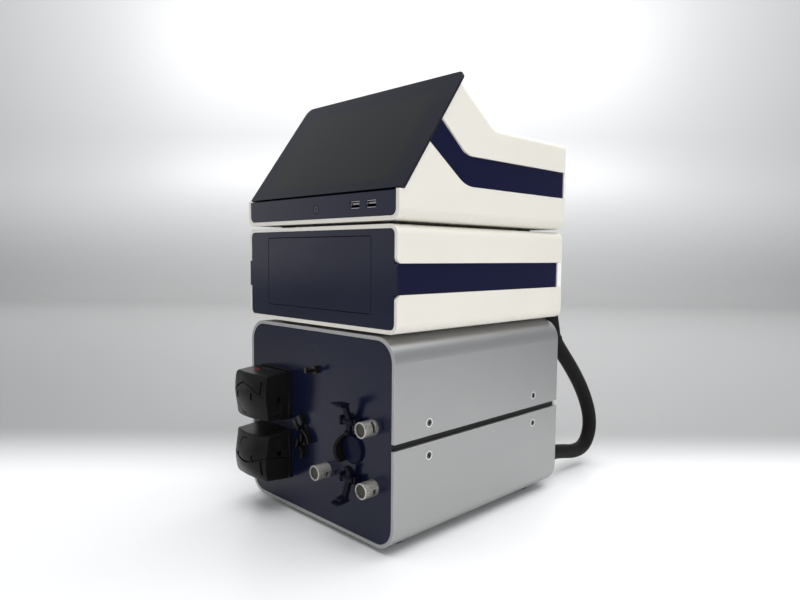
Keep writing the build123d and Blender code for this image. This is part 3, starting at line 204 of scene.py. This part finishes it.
def ring(across, up, radius, half_line):
    """1 on a circle drawn in the plane of across and up."""
    reach = (across * across + up * up) ** 0.5
    return (half_line - (reach - radius).absolute()).between(0.0, MARK_FADE)


def bar(across, up, half_width, half_height):
    """1 inside an upright rectangle round the point where across and up are 0."""
    beside = (half_width - across.absolute()).between(0.0, MARK_FADE)
    return beside * (half_height - up.absolute()).between(0.0, MARK_FADE)


def lay_print_or_painted_light(f, mask, colour):
    """Lay a thin mark over the colour that the finish has: a print, painted shade or a painted
    highlight.
    """
    under = Value(f, f.shader.inputs["Base Color"].links[0].from_socket)
    f.set(Base_Color=f.blend(mask, under, colour))


# ------------------------------------------------------------------ finishes
def moulded(name, colour, roughness, grain=0.00035, edge=0.0005, wear_and_highlight=0.25, mottle=0.04,
            shine=0.5):
    """Fine-grained moulded plastic: sparked texture, faint flow marks, and paler edges that are
    part wear and part painted highlight.
    """
    f = Finish(name)
    grain_depth = 0.00002
    grain_field = f.noise(1.0 / grain, 2.0)
    flow = f.noise(9.0, 4.0)
    # Paler edges: part edge wear, part painted highlight where light catches the rounded edges.
    edge_wear_and_highlight = f.edge_mask(edge) * f.noise(160.0).between(0.35, 0.75) * wear_and_highlight
    body = f.blend(flow.between(0.3, 0.7), scaled(colour, 1 - mottle), scaled(colour, 1 + mottle))
    f.set(Base_Color=f.blend(edge_wear_and_highlight, body, scaled(colour, 1.9)),
          Roughness=roughness + (flow - 0.5) * 0.10 + (grain_field - 0.5) * 0.08,
          Normal=f.relief(grain_field, grain_depth, rounding=edge))
    f.shader.inputs["Specular IOR Level"].default_value = shine
    return f


def coated(name, colour, roughness, peel=0.00001, shine=0.5):
    """Sprayed sheet metal: orange peel, faint handling marks, and thin paler edges that are part
    wear and part painted highlight.
    """
    edge = 0.0004
    f = Finish(name)
    skin = f.noise(900.0, 2.0)
    marks = f.noise(1.0, 5.0, 0.6, f.stretched(7.0, 7.0, 16.0)).between(0.45, 0.72)
    # Paler edges: part edge wear, part painted highlight along the rounded edges.
    edge_wear_and_highlight = f.edge_mask(edge) * 0.3
    body = f.blend(marks, colour, scaled(colour, 1.06))
    f.set(Base_Color=f.blend(edge_wear_and_highlight, body, scaled(colour, 1.5)),
          Roughness=roughness + marks * 0.06 + (skin - 0.5) * 0.05,
          Normal=f.relief(skin, peel, rounding=edge))
    f.shader.inputs["Specular IOR Level"].default_value = shine
    return f


def silver_coat(name):
    """Silver-grey lacquer with fine metal flake, and painted highlights with some wear along its
    edges.
    """
    f = Finish(name)
    flake = f.cells(4200.0)
    cloud = f.noise(5.0, 3.0)
    skin = f.noise(700.0, 2.0)
    # Bright edges: mostly painted highlight along the rounded edges, with some edge wear.
    edge_wear_and_highlight = f.edge_mask(0.0006) * 0.7
    body = f.blend(flake.between(0.1, 0.8), shade(0.40, 0.40, 0.40), shade(0.34, 0.34, 0.34))
    body = f.blend(cloud.between(0.3, 0.7) * 0.5, body, shade(0.385, 0.385, 0.38))
    f.set(Base_Color=f.blend(edge_wear_and_highlight, body, shade(0.66, 0.66, 0.67)),
          Roughness=0.40 + (flake - 0.4) * 0.12 + (cloud - 0.5) * 0.06,
          Normal=f.relief(skin, 0.00001, rounding=0.0005))
    f.shader.inputs["Metallic"].default_value = 0.8
    return f


def steel(name, colour, roughness, along=(1.0, 1.0, 1.0)):
    """Machined steel. Its lines run along the axis that has a small share in along."""
    f = Finish(name)
    line_depth = 0.000006
    lines = f.noise(1.0, 4.0, 0.7, f.stretched(*(6000.0 * share for share in along)))
    stain = f.noise(120.0, 3.0)
    body = f.blend(lines.between(0.25, 0.75), scaled(colour, 0.82), scaled(colour, 1.1))
    f.set(Base_Color=body, Roughness=roughness + (lines - 0.5) * 0.16 + (stain - 0.5) * 0.1,
          Normal=f.relief(lines, line_depth, rounding=0.0002))
    f.shader.inputs["Metallic"].default_value = 1.0
    return f


def socket(name):
    """Bright steel at the mouth of a socket, with painted shade making it dark further in."""
    f = steel(name, grey(0.5), 0.25)
    painted_shade_depth = offset_from(f, SOCKET_MOUTH)[1]
    # Painted shade: the steel is painted nearly black from 0.2 mm to 2.2 mm into the socket,
    # where shade falls.
    lay_print_or_painted_light(f, painted_shade_depth.between(0.0002, 0.0022) * 0.96, grey(0.02))
    return f


def knurled_steel(name):
    """Bright steel with a fine cross-cut grip pattern whose grooves carry painted shade."""
    f = Finish(name)
    groove = f.cells(950.0).between(0.1, 0.6)
    stain = f.noise(120.0, 3.0)
    # Painted shade: the grooves are painted darker than the crests between them.
    f.set(Base_Color=f.blend(groove, shade(0.74, 0.73, 0.69), shade(0.42, 0.41, 0.38)),
          Roughness=0.36 + groove * 0.14 + (stain - 0.5) * 0.1,
          Normal=f.relief(1.0 - groove, 0.00018, rounding=0.0002))
    f.shader.inputs["Metallic"].default_value = 1.0
    return f


def screw_steel(name):
    """Dark screw heads with a painted highlight ring on the outer bevel."""
    f = steel(name, grey(0.10), 0.30)
    highlight_ring_radius, highlight_ring_half_width = 0.0042, 0.0006
    for depth in SCREW_DEPTHS:
        for height in SCREW_HEIGHTS:
            _, along, up = offset_from(f, spot(0.0, depth, height))
            # Painted highlight: a pale ring on the bevel of each screw head.
            lay_print_or_painted_light(f, ring(along, up, highlight_ring_radius, highlight_ring_half_width), grey(0.85))
    return f


def rubber(name):
    """Dull black rubber with pores and a pale bloom."""
    f = Finish(name)
    pores = f.noise(1800.0, 3.0)
    bloom = f.noise(90.0, 4.0).between(0.4, 0.8)
    f.set(Base_Color=f.blend(bloom * 0.5, grey(0.018), grey(0.05)),
          Roughness=0.72 + (pores - 0.5) * 0.2, Normal=f.relief(pores, 0.00004, rounding=0.0005))
    return f


def screen_black(name):
    """Touch glass: deep black border, a slightly paler display, faint wiping marks."""
    f = Finish(name)
    across, up = glass_place(f)
    half_display, low, high = 0.1065, 0.0105, 0.1295
    fade = 0.005
    inside = (half_display - across.absolute()).between(0.0, fade)
    inside = inside * (up - low).between(0.0, fade) * (high - up).between(0.0, fade)
    wipe = f.noise(1.0, 6.0, 0.65, f.stretched(14.0, 30.0, 30.0)).between(0.45, 0.8)
    prints = f.noise(70.0, 3.0).between(0.62, 0.72) * f.noise(11.0).between(0.5, 0.65)
    border, display = shade(0.0048, 0.0048, 0.0105), shade(0.0080, 0.0080, 0.0074)
    f.set(Base_Color=f.blend(inside, border, display),
          Roughness=0.07 + wipe * 0.05 + prints * 0.10,
          Normal=f.relief(wipe, 0.000001, rounding=0.0003))
    f.shader.inputs["Specular IOR Level"].default_value = 0.32
    f.shader.inputs["Coat Weight"].default_value = 0.15
    f.shader.inputs["Coat Roughness"].default_value = 0.05
    return f


def glass_place(f):
    """Distance from the middle, and distance up the glass from its lower edge, in metres."""
    way = (GLASS_HIGH_EDGE - GLASS_LOW_EDGE).normalized()
    from_low = f.node("ShaderNodeVectorMath", {"operation": "SUBTRACT"},
                      {0: f.place(), 1: tuple(GLASS_LOW_EDGE)})
    up = f.node("ShaderNodeVectorMath", {"operation": "DOT_PRODUCT"},
                {0: from_low, 1: tuple(way)}, out="Value")
    return f.part(f.place(), "X"), up


def braid(name):
    """Black braided sleeve: two families of flat strands crossing over the cable, with painted
    shade in the gaps between strands and painted highlight on their crowns.
    """
    f = Finish(name)
    run = f.node("ShaderNodeAttribute", {"attribute_name": "run"}, out="Fac")
    turn = f.node("ShaderNodeAttribute", {"attribute_name": "turn"}, out="Fac")
    strands, pitch = 16.0, 0.052
    slant = math.tau * strands / pitch
    left = (turn * strands + run * slant).sine()
    right = (turn * strands - run * slant).sine()
    over = (left * right).between(-0.15, 0.15)
    height = (1.0 - over) * left.absolute() + over * right.absolute()
    fuzz = f.noise(2600.0, 3.0)
    lint = f.noise(240.0, 5.0, 0.7).between(0.55, 0.8)
    # Painted shade and highlight: gaps between strands are painted near-black, the raised strands
    # paler.
    strand_shade_and_highlight = f.blend(height.between(0.55, 0.95), grey(0.0008), shade(0.025, 0.0225, 0.0215))
    f.set(Base_Color=f.blend(lint * 0.25, strand_shade_and_highlight, grey(0.03)),
          Roughness=0.42 + (fuzz - 0.5) * 0.3,
          Normal=f.relief(height * 0.9 + fuzz * 0.1, 0.0007))
    f.shader.inputs["Specular IOR Level"].default_value = 0.06
    return f


def board(name):
    """Green lacquered circuit board with raised tracks."""
    f = Finish(name)
    pads = f.cells(260.0, out="Color")
    tracks = f.noise(1.0, 1.0, 0.5, f.stretched(900.0, 140.0, 140.0)).between(0.48, 0.52)
    f.set(Base_Color=f.blend(tracks, shade(0.012, 0.09, 0.035), shade(0.02, 0.15, 0.06)),
          Roughness=0.35 + f.part(pads, "X") * 0.1, Normal=f.relief(tracks, 0.00003))
    return f


def standby_mark(f):
    """Faint ring with a bar, on the standby button only."""
    x, y, z = offset_from(f, STANDBY_BUTTON)
    radius, bar_height = 0.0026, 0.0023
    sign = ring(x, z, radius, 0.00022).most(bar(x, z - bar_height, 0.0002, 0.0013))
    on_face = (0.001 - y.absolute()).between(0.0, 0.0002)
    lay_print_or_painted_light(f, sign * on_face * 0.5, grey(0.22))


def turning_mark(f):
    """Small red ring and cross on the top of the upper pump's lid."""
    x, y, z = offset_from(f, LID_MARK)
    long_arm, half_arm, apart = 0.0030, 0.0007, 0.0085
    beside = x - apart
    sign = ring(x, y, 0.0026, 0.0005)
    sign = sign.most(bar(beside, y, long_arm, half_arm)).most(bar(beside, y, half_arm, long_arm))
    on_top = (0.004 - z.absolute()).between(0.0, 0.0005)
    lay_print_or_painted_light(f, sign * on_top, shade(0.30, 0.012, 0.012))


NAVY = shade(0.0048, 0.0068, 0.0225)
STRIPE_NAVY = shade(0.0035, 0.0045, 0.026)
WHITE = shade(0.675, 0.65, 0.585)

FINISHES = {
    "silver_cover": silver_coat("silver_lacquer"),
    "silver_panel": silver_coat("silver_lacquer_rear"),
    "black_sheet": coated("black_powder_coat", grey(0.008), 0.55, shine=0.25),
    "navy_panel": coated("navy_front_coat", NAVY, 0.20, peel=0.000003, shine=0.2),
    "navy_sheet": coated("navy_stripe_coat", STRIPE_NAVY, 0.38, peel=0.000008, shine=0.13),
    "white_housing": moulded("white_housing_plastic", WHITE, 0.45, wear_and_highlight=0.06, mottle=0.012),
    "white_panel": coated("white_rear_coat", shade(0.78, 0.77, 0.73), 0.45),
    "fastener_steel": screw_steel("screw_steel"),
    "foot_rubber": rubber("foot_rubber"),
    "pump_black": moulded("pump_black_plastic", grey(0.0045), 0.34, grain=0.0003, edge=0.0007,
                          wear_and_highlight=0.5, mottle=0.1, shine=0.15),
    "rotor_steel": steel("rotor_turned_steel", grey(0.5), 0.3, (1.0, 0.05, 1.0)),
    "roller_white": moulded("roller_acetal", shade(0.62, 0.60, 0.55), 0.3, wear_and_highlight=0.1),
    "motor_case": coated("motor_case_coat", grey(0.06), 0.5),
    "valve_sleeve": knurled_steel("valve_sleeve_knurled"),
    "valve_plunger": moulded("valve_plunger_dull", shade(0.040, 0.036, 0.026), 0.5, wear_and_highlight=0.3,
                             shine=0.3),
    "coil_black": coated("coil_coat", grey(0.03), 0.5),
    "contact_navy": coated("contact_disc_coat", shade(0.004, 0.0055, 0.020), 0.25, peel=0.000004,
                           shine=0.05),
    # The bluish tint in this black plastic is a painted reflection of the navy panel.
    "clip_black": moulded("clip_black_plastic", shade(0.0028, 0.0034, 0.0095), 0.40, wear_and_highlight=0.2,
                          mottle=0.1, shine=0.08),
    "guide_grey": moulded("guide_black_plastic", grey(0.004), 0.22, wear_and_highlight=0.4, mottle=0.1,
                          shine=0.2),
    "hook_steel": steel("hook_steel", shade(0.055, 0.045, 0.033), 0.3),
    "cable_sleeve": braid("cable_braid"),
    "cable_black": moulded("cable_boot_plastic", grey(0.0035), 0.5, wear_and_highlight=0.2, mottle=0.1,
                           shine=0.12),
    "screen_glass": screen_black("touch_glass"),
    "display": moulded("display_back", grey(0.03), 0.3),
    "tray_plastic": moulded("tray_plastic", grey(0.05), 0.45),
    "socket_steel": socket("socket_steel"),
    "inlet_black": moulded("inlet_black_plastic", grey(0.014), 0.5, wear_and_highlight=0.2),
    "rocker_black": moulded("rocker_black_plastic", grey(0.012), 0.25, wear_and_highlight=0.2),
    "board_green": board("circuit_board"),
}


def dress_frame():
    """Give every CAD node the finish of its own material slot."""
    for row in frame["record"]["subparts"]:
        piece = frame["nodes"][row["node"]]
        piece.data.materials.clear()
        piece.data.materials.append(FINISHES[row["material_slot"]].material)


# ------------------------------------------------------------------ link cable
CABLE_X = 100.0
# Depth and height of each point, from the plug's boot down to the gland.
CABLE_ROUTE = ((320.0, 184.5), (336.0, 168.5), (365.0, 142.0), (396.0, 108.0), (418.0, 71.0),
               (420.0, 43.0), (404.0, 23.5), (376.0, 22.0), (346.0, 29.0), (320.0, 33.0))
CABLE_DIAMETER = 0.019


def route_points():
    """The cable's centre line as one smooth spline through its listed route."""
    data = bpy.data.curves.new("cable_line", "CURVE")
    data.dimensions = "3D"
    data.resolution_u = 24
    line = data.splines.new("NURBS")
    line.points.add(len(CABLE_ROUTE) - 1)
    for point, (y, z) in zip(line.points, CABLE_ROUTE):
        point.co = (*spot(CABLE_X, y, z), 1.0)
    line.order_u = 3
    line.use_endpoint_u = True
    holder = bpy.data.objects.new("cable_line", data)
    bpy.context.collection.objects.link(holder)
    mesh = bpy.data.meshes.new_from_object(holder)
    points = [v.co.copy() for v in mesh.vertices]
    bpy.data.objects.remove(holder)
    bpy.data.meshes.remove(mesh)
    return points


def link_cable():
    """Tube along the spline, with its own length and turn stored for the braid."""
    points = route_points()
    sides = 40
    radius = CABLE_DIAMETER / 2
    run = 0.0
    circles = []
    mesh = bmesh.new()
    run_layer = mesh.verts.layers.float.new("run")
    turn_layer = mesh.verts.layers.float.new("turn")
    for n, point in enumerate(points):
        after = points[min(n + 1, len(points) - 1)]
        before = points[max(n - 1, 0)]
        along = (after - before).normalized()
        side = Vector((1, 0, 0))
        out = along.cross(side).normalized()
        run += (point - before).length
        circle = []
        for k in range(sides + 1):
            angle = math.tau * k / sides
            where = point + (side * math.cos(angle) + out * math.sin(angle)) * radius
            vert = mesh.verts.new(where)
            vert[run_layer] = run
            vert[turn_layer] = angle
            circle.append(vert)
        circles.append(circle)
    for first, second in zip(circles, circles[1:]):
        for k in range(sides):
            mesh.faces.new((first[k], first[k + 1], second[k + 1], second[k]))
    piece = finish_mesh("link_cable_braid", mesh, "cable_sleeve", "stack")
    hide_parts("link_cable")


def finish_mesh(name, mesh, slot, body):
    """Turn a built mesh into a piece that has a finish and rides on a body."""
    data = bpy.data.meshes.new(name)
    bmesh.ops.recalc_face_normals(mesh, faces=mesh.faces)
    mesh.to_mesh(data)
    mesh.free()
    for face in data.polygons:
        face.use_smooth = True
    piece = bpy.data.objects.new(name, data)
    bpy.context.collection.objects.link(piece)
    data.materials.append(FINISHES[slot].material)
    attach(piece, body)
    return piece


# ------------------------------------------------------------------ stage, light and camera
def area_light(name, place, aim, size, power, colour=(1, 1, 1)):
    """Rectangular light at a place, turned to face the point aim."""
    data = bpy.data.lights.new(name, "AREA")
    data.shape = "RECTANGLE"
    data.size, data.size_y = size
    data.energy = power
    data.color = colour
    light = bpy.data.objects.new(name, data)
    bpy.context.collection.objects.link(light)
    light.location = place
    light.rotation_euler = (Vector(aim) - Vector(place)).to_track_quat("-Z", "Y").to_euler()


def stage():
    """Plain pale floor that curves up into a plain backdrop."""
    front, back, radius, top, half_width, steps = -6.0, 3.0, 1.2, 3.0, 9, 12
    profile = [(front, 0.0), (back, 0.0)]
    for step in range(1, steps + 1):
        angle = math.pi / 2 * step / steps
        profile.append((back + radius * math.sin(angle), radius - radius * math.cos(angle)))
    profile.append((back + radius, top))
    turn = Matrix.Rotation(math.radians(45), 3, "Z")
    mesh = bmesh.new()
    rows = []
    for depth, height in profile:
        rows.append([mesh.verts.new(turn @ Vector((side, depth, height)))
                     for side in (-half_width, half_width)])
    for first, second in zip(rows, rows[1:]):
        mesh.faces.new((first[0], first[1], second[1], second[0]))
    data = bpy.data.meshes.new("floor")
    mesh.to_mesh(data)
    mesh.free()
    for face in data.polygons:
        face.use_smooth = True
    data.materials.append(stage_paint(turn @ Vector((0, 1, 0))).material)
    floor = bpy.data.objects.new("floor", data)
    bpy.context.collection.objects.link(floor)


def stage_paint(backwards):
    """White under the object, grey further back, and up the backdrop a painted shade that is
    darkest at its foot and paler higher up.
    """
    f = Finish("pale_floor")
    behind = f.node("ShaderNodeVectorMath", {"operation": "DOT_PRODUCT"},
                    {0: f.place(), 1: tuple(backwards)}, out="Value")
    height = f.part(f.place(), "Z")
    # Painted shade: the backdrop is painted darker towards its foot and paler higher up.
    wall_with_painted_shade = f.blend(height.between(0.0, 0.9), grey(0.26), shade(0.48, 0.48, 0.483))
    f.set(Base_Color=f.blend(behind.between(0.02, 0.30), grey(0.82), wall_with_painted_shade), Roughness=0.35)
    return f


def lights():
    """Soft room light with a window on the left, a bright ceiling and a washed backdrop."""
    world = bpy.data.worlds.new("soft_room")
    world.use_nodes = True
    room = world.node_tree.nodes["Background"]
    room.inputs["Color"].default_value = (0.80, 0.83, 0.88, 1)
    room.inputs["Strength"].default_value = 0.42
    bpy.context.scene.world = world
    middle = (0, 0, 0.22)
    area_light("left_window", (-2.5, -2.0, 0.6), middle, (2.6, 0.9), 7, (1.0, 0.98, 0.95))
    area_light("ceiling", (0.4, 0.3, 1.9), (0.4, 0.3, 0), (2.0, 3.0), 63)
    area_light("right_fill", (2.6, -0.9, 0.5), (0, 0, 0.1), (1.8, 0.8), 24)
    area_light("backdrop_wash", (-1.0, 1.0, 2.8), (-3.2, 3.2, 1.0), (6.0, 1.2), 230)


def camera():
    """Same standpoint and turn as the photograph's."""
    standpoint = spot(555.39, -419.18, 295.37)
    yaw, down, roll = (math.radians(angle) for angle in (45.304, 4.029, 0.465))
    data = bpy.data.cameras.new("photo_view")
    data.sensor_width = 36.0
    data.lens = 28.82
    data.clip_start = 0.01
    view = bpy.data.objects.new("photo_view", data)
    bpy.context.collection.objects.link(view)
    ahead = Vector((-math.sin(yaw) * math.cos(down), math.cos(yaw) * math.cos(down),
                    -math.sin(down)))
    right = Vector((math.cos(yaw), math.sin(yaw), 0))
    up = right.cross(ahead)
    right_rolled = right * math.cos(roll) + up * math.sin(roll)
    up_rolled = up * math.cos(roll) - right * math.sin(roll)
    turn = Matrix((right_rolled, up_rolled, -ahead)).transposed()
    view.matrix_world = Matrix.Translation(standpoint) @ turn.to_4x4()
    bpy.context.scene.camera = view
    bpy.context.scene.view_settings.view_transform = "Standard"


standby_mark(FINISHES["navy_panel"])
turning_mark(FINISHES["pump_black"])
dress_frame()
link_cable()
stage()
lights()
camera()
